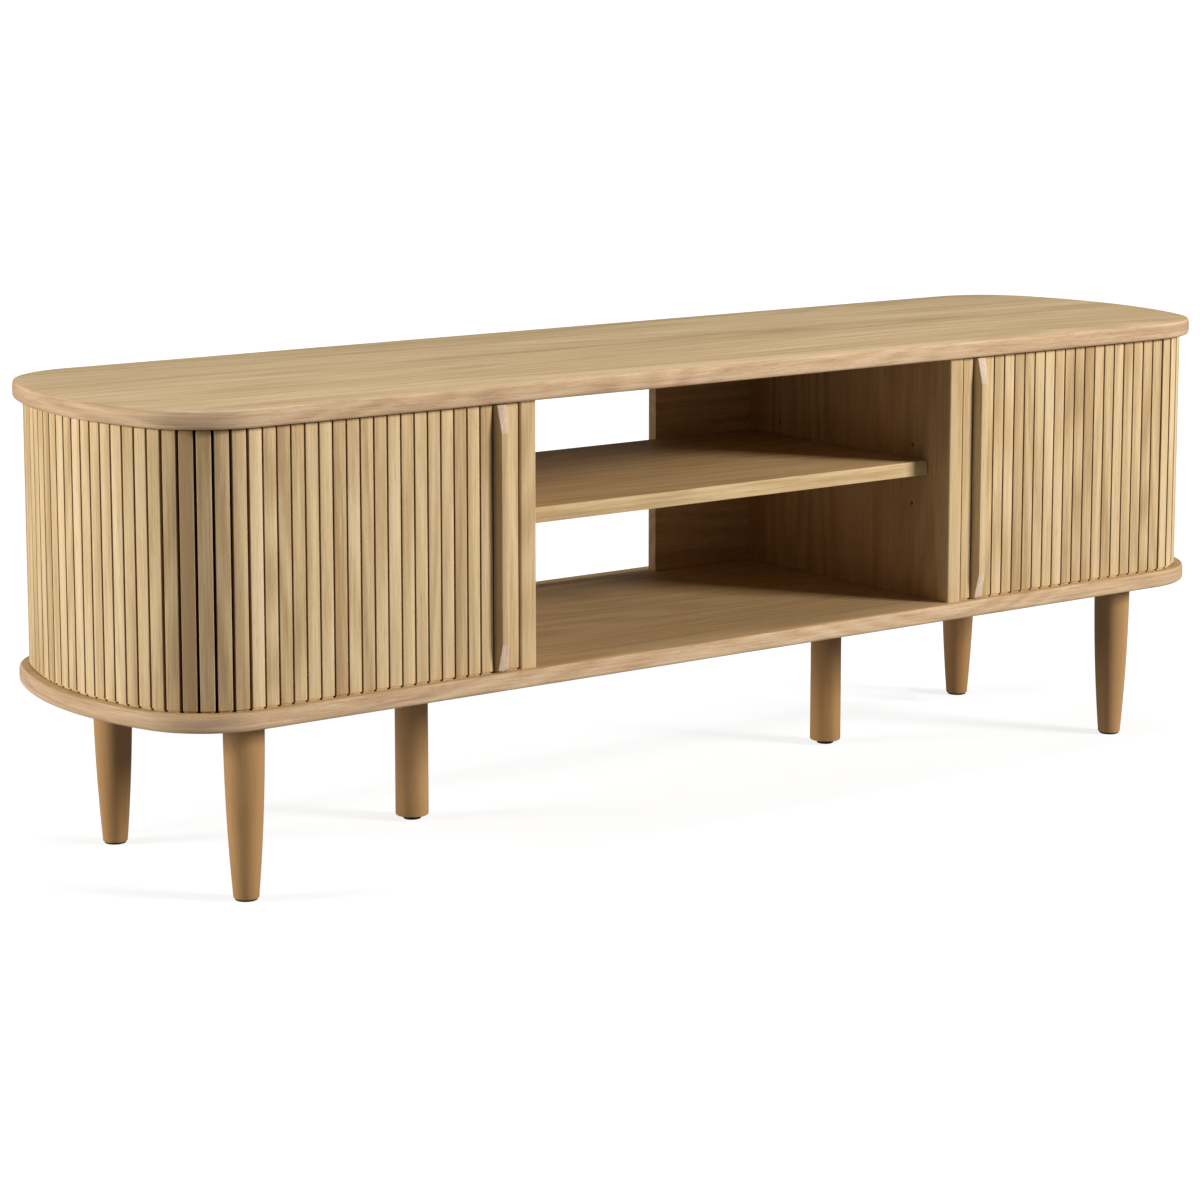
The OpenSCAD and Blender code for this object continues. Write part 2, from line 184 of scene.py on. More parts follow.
def wood(name, dark, mid, light, rings=0.25, fibres=0.4, patches=0.5, pores=0.5,
         rough=0.5, bump=0.3, own_coords=True, specular=0.45):
    """Oak whose fibres run along x of the piece's own grain coordinates."""
    material, tree, bsdf = new_material(name)
    if own_coords:
        coords = add_node(tree, "ShaderNodeAttribute", attribute_name="grain").outputs["Vector"]
    else:
        coords = add_node(tree, "ShaderNodeTexCoord").outputs["Object"]
    # Each stick's tone: random, plus painted shade on some slats
    tone_and_shade = add_node(tree, "ShaderNodeAttribute", attribute_name="tone_and_shade").outputs["Fac"]
    wander = noise(tree, coords, WANDER, 2.0)
    centred = add_node(tree, "ShaderNodeVectorMath",
                       {0: wander.outputs["Color"], 1: (0.5, 0.5, 0.5)},
                       operation="SUBTRACT").outputs[0]
    bend = scaled(tree, centred, (0.0, WANDER_REACH, WANDER_REACH))
    bent = add_node(tree, "ShaderNodeVectorMath", {0: coords, 1: bend}, operation="ADD").outputs[0]
    broad = noise(tree, bent, BROAD, 3.0, 0.55).outputs["Fac"]
    contour = noise(tree, bent, CONTOUR, 1.0, 0.4).outputs["Fac"]
    growth = math_node(tree, "SINE", math_node(tree, "MULTIPLY", contour, RINGS_IN_CONTOUR), 0.0)
    fibre = noise(tree, bent, FIBRE, 4.0, 0.62).outputs["Fac"]
    fine = noise(tree, bent, FINE_FIBRE, 2.0, 0.6).outputs["Fac"]
    total = math_node(tree, "MULTIPLY_ADD", math_node(tree, "SUBTRACT", broad, 0.5), patches)
    total.node.inputs[2].default_value = 0.5
    for value, centre, weight in ((growth, 0.0, rings * RING_WEIGHT), (fibre, 0.5, fibres),
                                  (fine, 0.5, fibres * 0.5)):
        part = math_node(tree, "MULTIPLY", math_node(tree, "SUBTRACT", value, centre), weight)
        total = math_node(tree, "ADD", total, part)
    total = math_node(tree, "ADD", total, tone_and_shade, clamp=True)
    colour = ramp(tree, total, ((0.2, dark), (0.5, mid), (0.8, light)))
    dashes = noise(tree, bent, PORE, 1.0, 0.5).outputs["Fac"]
    open_pores = ramp(tree, dashes, ((0.60, (0, 0, 0)), (0.72, (1, 1, 1))))
    pore_mask = math_node(tree, "MULTIPLY", open_pores, pores)
    pore_colour = (dark[0] * 0.7, dark[1] * 0.6, dark[2] * 0.5, 1.0)
    colour = mix_colour(tree, pore_mask, colour, pore_colour)
    tree.links.new(colour, bsdf.inputs["Base Color"])
    gloss = math_node(tree, "MULTIPLY", math_node(tree, "SUBTRACT", fibre, 0.5), GLOSS_SPREAD)
    tree.links.new(math_node(tree, "ADD", gloss, rough), bsdf.inputs["Roughness"])
    height = math_node(tree, "SUBTRACT", fibre, pore_mask)
    add_relief(tree, bsdf, bump, PORE_DEPTH, height)
    bsdf.inputs["Specular IOR Level"].default_value = specular
    return material


def fibreboard(name):
    material, tree, bsdf = new_material(name)
    coords = add_node(tree, "ShaderNodeTexCoord").outputs["Object"]
    chips = noise(tree, coords, (420, 420, 700), 4.0, 0.7).outputs["Fac"]
    colour = ramp(tree, chips, ((0.3, (0.20, 0.125, 0.065)), (0.7, (0.42, 0.29, 0.17))))
    tree.links.new(colour, bsdf.inputs["Base Color"])
    add_relief(tree, bsdf, 0.5, 0.0003, chips)
    bsdf.inputs["Roughness"].default_value = 0.85
    return material


THREADS = 5200.0


def woven(name):
    """Plain-weave canvas. THREADS, in radians to the metre, gives a repeat of 1.2 mm."""
    material, tree, bsdf = new_material(name)
    coords = add_node(tree, "ShaderNodeAttribute", attribute_name="grain").outputs["Vector"]
    parts = add_node(tree, "ShaderNodeSeparateXYZ", {0: coords})
    across = math_node(tree, "SINE", math_node(tree, "MULTIPLY", parts.outputs[0], THREADS), 0.0)
    along = math_node(tree, "SINE", math_node(tree, "MULTIPLY", parts.outputs[1], THREADS), 0.0)
    weave = math_node(tree, "MULTIPLY", across, along)
    slub = noise(tree, coords, (90, 900, 90), 3.0, 0.6).outputs["Fac"]
    mixed = math_node(tree, "MULTIPLY_ADD", weave, 0.12)
    tree.links.new(slub, mixed.node.inputs[2])
    # The canvas is real cloth, but its near-black colour is painted shade for the gaps between the
    # slats, where it shows
    colour = ramp(tree, mixed, ((0.3, (0.020, 0.016, 0.012)), (0.7, (0.060, 0.048, 0.036))))
    tree.links.new(colour, bsdf.inputs["Base Color"])
    add_relief(tree, bsdf, 0.6, 0.0002, mixed)
    bsdf.inputs["Roughness"].default_value = 0.92
    bsdf.inputs["Sheen Weight"].default_value = 0.3
    return material


def steel(name, colour, rough):
    material, tree, bsdf = new_material(name)
    coords = add_node(tree, "ShaderNodeTexCoord").outputs["Object"]
    brushed = noise(tree, coords, (1400, 1400, 240), 3.0, 0.6).outputs["Fac"]
    bright = tuple(min(1.0, c * 1.15) for c in colour)
    dull = tuple(c * 0.8 for c in colour)
    tree.links.new(ramp(tree, brushed, ((0.3, dull), (0.7, bright))), bsdf.inputs["Base Color"])
    gloss = math_node(tree, "MULTIPLY_ADD", brushed, 0.25)
    gloss.node.inputs[2].default_value = rough
    tree.links.new(gloss, bsdf.inputs["Roughness"])
    bsdf.inputs["Metallic"].default_value = 1.0
    return material


def nylon(name, colour):
    material, tree, bsdf = new_material(name)
    coords = add_node(tree, "ShaderNodeTexCoord").outputs["Object"]
    grain = noise(tree, coords, (2200, 2200, 2200), 3.0, 0.6).outputs["Fac"]
    lighter = tuple(c * 1.7 for c in colour)
    tree.links.new(ramp(tree, grain, ((0.35, colour), (0.7, lighter))), bsdf.inputs["Base Color"])
    add_relief(tree, bsdf, 0.35, 0.0001, grain)
    bsdf.inputs["Roughness"].default_value = 0.55
    return material


VENEER = wood("oak_veneer_top", (0.44, 0.295, 0.15), (0.60, 0.43, 0.235), (0.71, 0.54, 0.325),
              rings=0.45, fibres=0.7, patches=0.9, rough=0.5, pores=0.4, specular=0.35)
# The inside boards' oak: a darker, more saturated copy of the top's oak, as painted shade for the
# inside of the bay
VENEER_IN_SHADE = wood("oak_veneer_inside_painted_shade", (0.42, 0.255, 0.11), (0.56, 0.37, 0.175),
                 (0.67, 0.475, 0.26), rings=0.45, fibres=0.6, patches=0.45, rough=0.5, pores=0.3)
LIPPING = wood("oak_lipping", (0.42, 0.255, 0.14), (0.62, 0.415, 0.24), (0.78, 0.575, 0.37),
               rings=0.35, fibres=0.8, patches=0.45, rough=0.34, pores=0.35, specular=0.6)
SLAT_OAK = wood("oak_slats", (0.48, 0.31, 0.15), (0.68, 0.488, 0.255), (0.82, 0.62, 0.37),
                rings=0.5, fibres=0.75, patches=0.55, rough=0.48, pores=0.3)
SOLID_OAK = wood("oak_solid", (0.49, 0.32, 0.155), (0.66, 0.47, 0.245), (0.79, 0.60, 0.35),
                 rings=0.5, fibres=0.6, patches=0.5, rough=0.42, pores=0.3)
# Painted shade for the slats' sides and backs, in the gaps between the slats
SLAT_SIDE_SHADE = wood("oak_slat_sides_painted_shade", (0.21, 0.11, 0.05), (0.32, 0.18, 0.085), (0.42, 0.26, 0.13),
                 rings=0.3, fibres=0.5, patches=0.5, rough=0.6)
LEG_WOOD = wood("turned_legs", (0.37, 0.192, 0.070), (0.45, 0.249, 0.097), (0.53, 0.311, 0.135),
                rings=0.2, fibres=0.25, patches=0.5, pores=0.15, rough=0.42, bump=0.15)
END_OAK = wood("oak_end_grain", (0.52, 0.37, 0.25), (0.72, 0.55, 0.40), (0.86, 0.70, 0.54),
               rings=0.2, fibres=0.9, patches=0.3, rough=0.55, pores=0.5)
DOWEL_WOOD = wood("beech_dowels", (0.42, 0.27, 0.15), (0.60, 0.42, 0.26), (0.72, 0.55, 0.38),
                  own_coords=False)
CORE = fibreboard("board_core")
CANVAS_SHADE = woven("cotton_canvas_painted_shade")
STEEL = steel("zinc_steel", (0.55, 0.55, 0.54), 0.28)
CAM_METAL = steel("cast_zinc", (0.42, 0.42, 0.43), 0.42)
NYLON = nylon("black_nylon", (0.012, 0.012, 0.013))


# ---- mesh helpers -----------------------------------------------------------------

AXES = {"x": (2, 0, 1), "y": (0, 2, 1), "z": (0, 1, 2)}


def turned_to(axis, u, v, w):
    """A point given across (u, v) and along (w) the named axis."""
    local = (u, v, w)
    order = AXES[axis]
    return (local[order[0]], local[order[1]], local[order[2]])


def loft(rings):
    """A closed skin through rings of the same number of points, capped at both ends."""
    n = len(rings[0])
    last = (len(rings) - 1) * n
    verts = [p for ring in rings for p in ring]
    faces = [[i * n + j, i * n + (j + 1) % n, (i + 1) * n + (j + 1) % n, (i + 1) * n + j]
             for i in range(len(rings) - 1) for j in range(n)]
    faces.append(list(range(n))[::-1])
    faces.append([last + j for j in range(n)])
    return verts, faces


def merged(parts):
    """Several closed skins as one."""
    verts, faces = [], []
    for part_verts, part_faces in parts:
        start = len(verts)
        verts += part_verts
        faces += [[i + start for i in face] for face in part_faces]
    return verts, faces


def make_object(name, solid, materials):
    mesh = bpy.data.meshes.new(name)
    mesh.from_pydata(solid[0], [], solid[1])
    for material in materials:
        mesh.materials.append(material)
    bm = bmesh.new()
    bm.from_mesh(mesh)
    bmesh.ops.recalc_face_normals(bm, faces=bm.faces)
    bm.to_mesh(mesh)
    bm.free()
    obj = bpy.data.objects.new(name, mesh)
    bpy.context.scene.collection.objects.link(obj)
    return obj


def inset_polygon(points, d):
    """A convex polygon with every side moved in by d."""
    n = len(points)
    pairs = [(points[i], points[(i + 1) % n]) for i in range(n)]
    area = sum(a[0] * b[1] - b[0] * a[1] for a, b in pairs)
    turn = 1.0 if area > 0 else -1.0
    moved = []
    for i in range(n):
        p0, p1, p2 = (Vector(points[(i + k) % n]) for k in (-1, 0, 1))
        a = (p1 - p0).normalized()
        b = (p2 - p1).normalized()
        na = Vector((-a.y, a.x)) * turn
        nb = Vector((-b.y, b.x)) * turn
        moved.append(tuple(p1 + (na + nb) * (d / (1.0 + na.dot(nb)))))
    return moved


def fillet(points, radii, steps=4):
    """A convex polygon with its corners rounded."""
    n = len(points)
    out = []
    for i in range(n):
        p0, p1, p2 = (Vector(points[(i + k) % n]) for k in (-1, 0, 1))
        u = (p0 - p1).normalized()
        v = (p2 - p1).normalized()
        half = math.acos(max(-1.0, min(1.0, u.dot(v)))) / 2
        centre = p1 + (u + v).normalized() * (radii[i] / math.sin(half))
        start = p1 + u * (radii[i] / math.tan(half)) - centre
        end = p1 + v * (radii[i] / math.tan(half)) - centre
        sweep = start.angle_signed(end)
        for k in range(steps + 1):
            a = -sweep * k / steps
            out.append((centre.x + start.x * math.cos(a) - start.y * math.sin(a),
                        centre.y + start.x * math.sin(a) + start.y * math.cos(a)))
    return out


LEAST_RADIUS = 0.00004


def section(points, radii, inset, steps=4):
    """A polygon moved in by inset, its corners rounded that much less."""
    small = [max(r - inset, LEAST_RADIUS) for r in radii]
    return fillet(inset_polygon(points, inset), small, steps)


def rounded_levels(low, high, r_low, r_high, steps=3, stretch=1.0):
    """(inset, position) pairs that round a prism's two ends.

    The rounding at the high end is stretch times as tall as it is deep.
    """
    quarter = [math.radians(90.0 * k / steps) for k in range(steps + 1)]
    start = [(r_low * (1 - math.sin(a)), low + r_low * (1 - math.cos(a))) for a in quarter]
    finish = [(r_high * (1 - math.sin(a)), high - stretch * r_high * (1 - math.cos(a)))
              for a in quarter]
    return start + finish[::-1]


def prism(axis, points, radii, low, high, end_r, steps=4):
    """A straight solid along axis with rounded edges, and ends rounded by end_r."""
    rings = [[turned_to(axis, u, v, w) for u, v in section(points, radii, inset, steps)]
             for inset, w in rounded_levels(low, high, end_r, end_r)]
    return loft(rings)


def board_solid(low, high, axis, edge_r):
    """A board with softened edges; the fibres and the loft run along axis."""
    index = "xyz".index(axis)
    others = [AXES[axis].index(k) for k in (0, 1)]
    u0, v0 = (low[i] for i in others)
    u1, v1 = (high[i] for i in others)
    points = [(u0, v0), (u1, v0), (u1, v1), (u0, v1)]
    return prism(axis, points, [edge_r] * 4, low[index], high[index], edge_r, 3)


def lathe(axis, centre, profile, segments=48):
    """A turned solid; profile is (radius, position along the axis) from one end to the other."""
    cu, cv = centre
    turn = [math.tau * k / segments for k in range(segments)]
    rings = [[turned_to(axis, cu + r * math.cos(a), cv + r * math.sin(a), w) for a in turn]
             for r, w in profile]
    return loft(rings)


def cut(obj, solid):
    """Takes solid, one or more closed skins that don't touch, out of obj."""
    tool = make_object(obj.name + "_tool", solid, [])
    modifier = obj.modifiers.new("cut", "BOOLEAN")
    modifier.object = tool
    modifier.operation = "DIFFERENCE"
    modifier.solver = "EXACT"
    graph = bpy.context.evaluated_depsgraph_get()
    mesh = bpy.data.meshes.new_from_object(obj.evaluated_get(graph))
    obj.modifiers.clear()
    obj.data = mesh
    bpy.data.objects.remove(tool)


def soften(obj, angle=32.0):
    """Smooth shading, with edges sharper than angle degrees left sharp."""
    mesh = obj.data
    mesh.polygons.foreach_set("use_smooth", np.ones(len(mesh.polygons), bool))
    mesh.set_sharp_from_angle(angle=math.radians(angle))


GRAIN_REACH = 8.0


def store_grain(mesh, domain, grain):
    layer = mesh.attributes.new("grain", "FLOAT_VECTOR", domain)
    layer.data.foreach_set("vector", grain.ravel())


def lay_grain(obj, axis, counts=None, shade_tones=None, spread=0.05):
    """Grain coordinates with the fibres along axis.

    counts says how many vertices each separate stick of wood has, and each stick gets its own
    stretch of oak.
    """
    mesh = obj.data
    co = np.zeros(len(mesh.vertices) * 3)
    mesh.vertices.foreach_get("co", co)
    co = co.reshape(-1, 3)
    order = {"x": (0, 1, 2), "y": (1, 0, 2), "z": (2, 0, 1)}[axis]
    grain = co[:, order].copy()
    tone_and_shade = np.zeros(len(co))
    counts = counts or [len(co)]
    start = 0
    for i, count in enumerate(counts):
        shift = rng.uniform(-GRAIN_REACH, GRAIN_REACH, 3)
        own = rng.normal(0.0, spread)
        grain[start:start + count] += shift
        # A stick's random tone, plus any painted shade given for it
        tone_and_shade[start:start + count] = own + (shade_tones[i] if shade_tones else 0.0)
        start += count
    store_grain(mesh, "POINT", grain)
    mesh.attributes.new("tone_and_shade", "FLOAT", "POINT").data.foreach_set("value", tone_and_shade)


def finish_piece(obj, node):
    """Puts a piece in its node's place, on its node's body."""
    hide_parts(node)
    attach(obj, NODES[node]["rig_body"])
    return obj


# ---- the cabinet's plan -----------------------------------------------------------

def quarter_line(d):
    """One quarter of the panels' edge, moved in by d, from the front towards the end's middle."""
    line = []
    corner = CORNER_R - d
    bow = END_R - d
    for i in range(CORNER_STEPS + 1):
        a = BLEND * i / CORNER_STEPS
        line.append((CORNER_X + corner * math.sin(a), -CORNER_Y - corner * math.cos(a)))
    for i in range(1, BOW_STEPS + 1):
        a = BLEND + (math.pi / 2 - BLEND) * i / BOW_STEPS
        line.append((BOW_X + bow * math.sin(a), -bow * math.cos(a)))
    return line


def end_line(d):
    line = quarter_line(d)
    return line + [(x, -y) for x, y in line[-2::-1]]


def plan_outline(d):
    line = end_line(d)
    return line + [(-x, y) for x, y in line[::-1]]


def end_strip(d_out, d_in, x_front, x_back, sign):
    """A band that follows one rounded end between two insets."""
    outer = [(x_front, -HALF_D + d_out)] + end_line(d_out) + [(x_back, HALF_D - d_out)]
    inner = [(x_front, -HALF_D + d_in)] + end_line(d_in) + [(x_back, HALF_D - d_in)]
    return [(x * sign, y) for x, y in outer + inner[::-1]]


def strip_solid(outline, z0, z1):
    return loft([[(x, y, z) for x, y in outline] for z in (z0, z1)])


PATH_CORNER_R = CORNER_R - CLOTH_INSET
PATH_BOW_R = END_R - CLOTH_INSET
RUN_FRONT = CORNER_X - DOOR_X
RUN_CORNER = PATH_CORNER_R * BLEND
RUN_BOW = PATH_BOW_R * (math.pi - 2 * BLEND)


def on_path(s):
    """(x, y, heading) on the cloth line of the right-hand door, s from its closed edge."""
    def around(cx, cy, r, a):
        return (cx + r * math.sin(a), cy - r * math.cos(a), a)
    if s <= RUN_FRONT:
        return (DOOR_X + s, -HALF_D + CLOTH_INSET, 0.0)
    s -= RUN_FRONT
    if s <= RUN_CORNER:
        return around(CORNER_X, -CORNER_Y, PATH_CORNER_R, s / PATH_CORNER_R)
    s -= RUN_CORNER
    if s <= RUN_BOW:
        return around(BOW_X, 0.0, PATH_BOW_R, BLEND + s / PATH_BOW_R)
    s -= RUN_BOW
    if s <= RUN_CORNER:
        return around(CORNER_X, CORNER_Y, PATH_CORNER_R, math.pi - BLEND + s / PATH_CORNER_R)
    return (CORNER_X - s + RUN_CORNER, HALF_D - CLOTH_INSET, math.pi)


# ---- top and bottom panels --------------------------------------------------------

RIM_STEP = 0.004
LIP_BELOW = 0.0042
LIP_ABOVE = 0.0026
LIP_STRETCH = 2.7
LIPPING_W = 0.006
SLOT_SIDE = 0.0002
SLOT_FACE = 0.0001
SLOT_H = 0.0065
SLOT_DEPTH = 0.0055

# The distance round the edge of the plan, by which the lipping's grain runs
RIM = kdtree.KDTree(2400)
rim_line = [Vector(p) for p in plan_outline(0.0)]
rim_length = 0.0
rim_s = []
for first, second in zip(rim_line, rim_line[1:] + rim_line[:1]):
    pieces = max(1, int((second - first).length / RIM_STEP))
    for k in range(pieces):
        point = first.lerp(second, k / pieces)
        RIM.insert((point.x, point.y, 0.0), len(rim_s))
        rim_s.append(rim_length + (point - first).length)
    rim_length += (second - first).length
RIM.balance()


def panel(node, veneer, track_z, slot_z):
    """A veneered board with a solid lipping, the doors' tracks and the back covers' slots."""
    low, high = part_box(node)
    rings = [[(x, y, z) for x, y in plan_outline(inset)]
             for inset, z in rounded_levels(low.z, high.z, LIP_BELOW, LIP_ABOVE, 6, LIP_STRETCH)]
    obj = make_object(node + "_finished", loft(rings), [veneer, LIPPING, CORE])
    tools = []
    for sign in (1, -1):
        band = end_strip(CLOTH_INSET - TONGUE_OUT - TONGUE_T - TRACK_SIDE,
                         CLOTH_INSET - TONGUE_OUT + TRACK_SIDE,
                         DOOR_X - TRACK_START, TRACK_END_X, sign)
        tools.append(strip_solid(band, *track_z))
        cover_low, cover_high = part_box("right_back_cover")
        xs = sorted((sign * (cover_low.x - SLOT_SIDE), sign * (cover_high.x + SLOT_SIDE)))
        slot_low = (xs[0], cover_low.y - SLOT_FACE, slot_z)
        slot_high = (xs[1], cover_high.y + SLOT_FACE, slot_z + SLOT_H)
        tools.append(board_solid(slot_low, slot_high, "x", LEAST_RADIUS))
    cut(obj, merged(tools))
    mesh = obj.data
    grain = np.zeros((len(mesh.loops), 3))
    shift_top = rng.uniform(-GRAIN_REACH, GRAIN_REACH, 3)
    shift_rim = rng.uniform(-GRAIN_REACH, GRAIN_REACH, 3)
    for face in mesh.polygons:
        centre = face.center
        found = RIM.find((centre.x, centre.y, 0.0))[0]
        inset = math.hypot(found.x - centre.x, found.y - centre.y)
        at_face = min(abs(centre.z - low.z), abs(centre.z - high.z)) < 1e-5
        flat = at_face and abs(face.normal.z) > 0.999
        face.material_index = 0 if flat else (1 if inset < LIPPING_W else 2)
        for loop in face.loop_indices:
            co = mesh.vertices[mesh.loops[loop].vertex_index].co
            if face.material_index == 1:
                s = rim_s[RIM.find((co.x, co.y, 0.0))[1]]
                grain[loop] = (s + shift_rim[0], co.z + shift_rim[1], shift_rim[2])
            else:
                grain[loop] = (co.x + shift_top[0], co.y + shift_top[1], shift_top[2])
    store_grain(mesh, "CORNER", grain)
    soften(obj, 40)
    return finish_piece(obj, node)


panel("top_panel", VENEER, (CEILING_Z - PAST_FACE, CEILING_Z + TRACK_DEPTH), CEILING_Z - PAST_FACE)
# The bottom panel's veneer is the inside oak, with its painted shade
panel("bottom_panel", VENEER_IN_SHADE, (BAY_Z - TRACK_DEPTH, BAY_Z + PAST_FACE), BAY_Z - SLOT_DEPTH)


# ---- boards -----------------------------------------------------------------------

PIN_Y = (-0.1385, 0.1187)
PIN_Z = (0.3395, 0.376, 0.4125)
PIN_R = 0.0025
PIN_DEPTH = 0.008
CAM_Y = (-0.095, 0.095)
CAM_END = 0.034
CAM_Z = (BAY_Z + CAM_END, CEILING_Z - CAM_END)
CAM_R = 0.0075
CAM_T = 0.0128


def bores(faces, radius, depth, places):
    """Blind bores along x; faces are (x of the face, direction into the board)."""
    solids = []
    for x, into in faces:
        for y, z in places:
            span = sorted((x - into * PAST_FACE, x + into * depth))
            solids.append(lathe("x", (y, z), [(radius, span[0]), (radius, span[1])], 24))
    return merged(solids)


BOARD_EDGE_R = 0.0006
COVER_EDGE_R = 0.0004
CENTRE_SHELF_EDGE_R = 0.0008


def board(node, axis, edge_r=BOARD_EDGE_R, cuts=None, front=None):
    """A veneered board; front is the material of its front edge if that is different."""
    low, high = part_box(node)
    # Boards get the inside oak, with its painted shade
    materials = [VENEER_IN_SHADE, front] if front else [VENEER_IN_SHADE]
    obj = make_object(node + "_finished", board_solid(low, high, axis, edge_r), materials)
    if front:
        for face in obj.data.polygons:
            face.material_index = 1 if face.normal.y < -0.5 else 0
    if cuts:
        cut(obj, merged(cuts))
    lay_grain(obj, axis, spread=0.06)
    soften(obj)
    return finish_piece(obj, node)


PIN_PLACES = [(y, z) for y in PIN_Y for z in PIN_Z]
CAM_PLACES = [(y, z) for y in CAM_Y for z in CAM_Z]
for side, sign in (("left", -1), ("right", 1)):
    low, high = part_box(side + "_divider")
    inner = low.x if sign > 0 else high.x
    outer = high.x if sign > 0 else low.x
    pin_bores = bores([(inner, sign), (outer, -sign)], PIN_R, PIN_DEPTH, PIN_PLACES)
    cam_bores = bores([(outer, -sign)], CAM_R, CAM_T, CAM_PLACES)
    board(side + "_divider", "z", cuts=[pin_bores, cam_bores])
    low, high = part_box(side + "_inner_side")
    face = low.x if sign > 0 else high.x
    pin_bores = bores([(face, sign)], PIN_R, PIN_DEPTH, PIN_PLACES)
    cam_bores = bores([(face, sign)], CAM_R, CAM_T, CAM_PLACES)
    board(side + "_inner_side", "z", cuts=[pin_bores, cam_bores])
    board(side + "_back_panel", "x")
    board(side + "_back_cover", "x", COVER_EDGE_R)
    board(side + "_shelf", "x", front=SLAT_OAK)
board("centre_shelf", "x", CENTRE_SHELF_EDGE_R, front=SLAT_OAK)


# ---- posts, slats and handles -----------------------------------------------------

END_FACE = 0.5
SIDE_FACE = 0.3
SLOPED_FACE = 0.12


def sticks(node, solids, shade_tones=None, material=None, spread=0.05, sloped_ends=False):
    """One piece made of separate upright sticks of wood."""
    obj = make_object(node + "_finished", merged(solids), [material or SLAT_OAK, SLAT_SIDE_SHADE])
    share = len(solids) // len(shade_tones) if shade_tones else 1
    per_stick = [sum(len(s[0]) for s in solids[i:i + share]) for i in range(0, len(solids), share)]
    lay_grain(obj, "z", per_stick, shade_tones, spread)
    # Bare slats get painted shade on their side and back faces
    if material is None:
        paint_shade_on_sides(obj)
    if sloped_ends:
        show_end_grain(obj)
    soften(obj)
    return finish_piece(obj, node)


def show_end_grain(obj):
    """Faces cut across the fibres are paler and pinker than the rest."""
    obj.data.materials.append(END_OAK)
    for face in obj.data.polygons:
        if abs(face.normal.z) > SLOPED_FACE:
            face.material_index = len(obj.data.materials) - 1


def paint_shade_on_sides(obj):
    """Painted shade: the slats' side and back faces, in the gaps between slats, get a darker oak
    than their fronts.
    """
    for face in obj.data.polygons:
        if abs(face.normal.z) > END_FACE:
            continue
        out = outward(abs(face.center.x), face.center.y)
        half = math.copysign(1.0, face.center.x)
        facing = half * face.normal.x * out[0] + face.normal.y * out[1]
        face.material_index = 1 if facing < SIDE_FACE else 0


def outward(x, y):
    """The direction that the slats face at a place on the plan, on the right-hand half."""
    if x < CORNER_X and y < 0:
        return (0.0, -1.0)
    if x < CORNER_X:
        return (0.0, 1.0)
    for cx, cy in ((CORNER_X, -CORNER_Y), (CORNER_X, CORNER_Y)):
        angle = math.atan2(x - cx, abs(y) - abs(cy))
        if y * cy > 0 and angle < BLEND:
            return (math.sin(angle), math.copysign(math.cos(angle), y))
    length = math.hypot(x - BOW_X, y)
    return ((x - BOW_X) / length, y / length)


SLAT_ARRIS = 0.0007
SLAT_END_R = 0.0006
BACK_ARRIS = 0.0003
TONGUE_ROOT = 0.0015
TONGUE_INSET = 0.0008


def slat_solids(index, sign):
    """A slat and its two tongues at one place along the door."""
    x, y, heading = on_path((index - 0.5) * PITCH)

    def placed(solid):
        points = []
        for px, py, pz in solid[0]:
            turned_x = x + px * math.cos(heading) - py * math.sin(heading)
            turned_y = y + px * math.sin(heading) + py * math.cos(heading)
            points.append((turned_x * sign, turned_y, pz))
        return points, solid[1]

    half = SLAT_W / 2
    outline = [(-half, -SLAT_T), (half, -SLAT_T), (half, 0.0), (-half, 0.0)]
    radii = [SLAT_ARRIS, SLAT_ARRIS, BACK_ARRIS, BACK_ARRIS]
    solids = [placed(prism("z", outline, radii, SLAT_Z0, SLAT_Z1, SLAT_END_R, 3))]
    for z0, z1 in ((SLAT_Z0 - TONGUE_H, SLAT_Z0 + TONGUE_ROOT),
                   (SLAT_Z1 - TONGUE_ROOT, SLAT_Z1 + TONGUE_H)):
        tongue_low = (-half + TONGUE_INSET, -TONGUE_OUT - TONGUE_T, z0)
        tongue_high = (half - TONGUE_INSET, -TONGUE_OUT, z1)
        solids.append(placed(board_solid(tongue_low, tongue_high, "z", BACK_ARRIS)))
    return solids


def door_slats(node, sign, first, last, shaded_slats=None):
    """Slats first to last of a door; the slats given in its last argument get painted shade."""
    solids = []
    shade_tones = []
    for index in range(first, last + 1):
        solids += slat_solids(index, sign)
        shade_tones.append((shaded_slats or {}).get(index, 0.0))
    return sticks(node, solids, shade_tones, spread=0.07)


HANDLE_OUT = 0.0113
HANDLE_END_OUT = 0.0048
HANDLE_SLOPE = 0.031
HANDLE_FACE_W = 0.0096
HANDLE_FOOT_W = 0.0147
HANDLE_SOFT = 0.0016
HANDLE_DIP = 0.00012
HANDLE_RADII = [0.0011, 0.0011, 0.00015, 0.00015]
HANDLE_TIPS = ((0.0, 0.0007), (0.0004, 0.0002), (0.0012, 0.0))


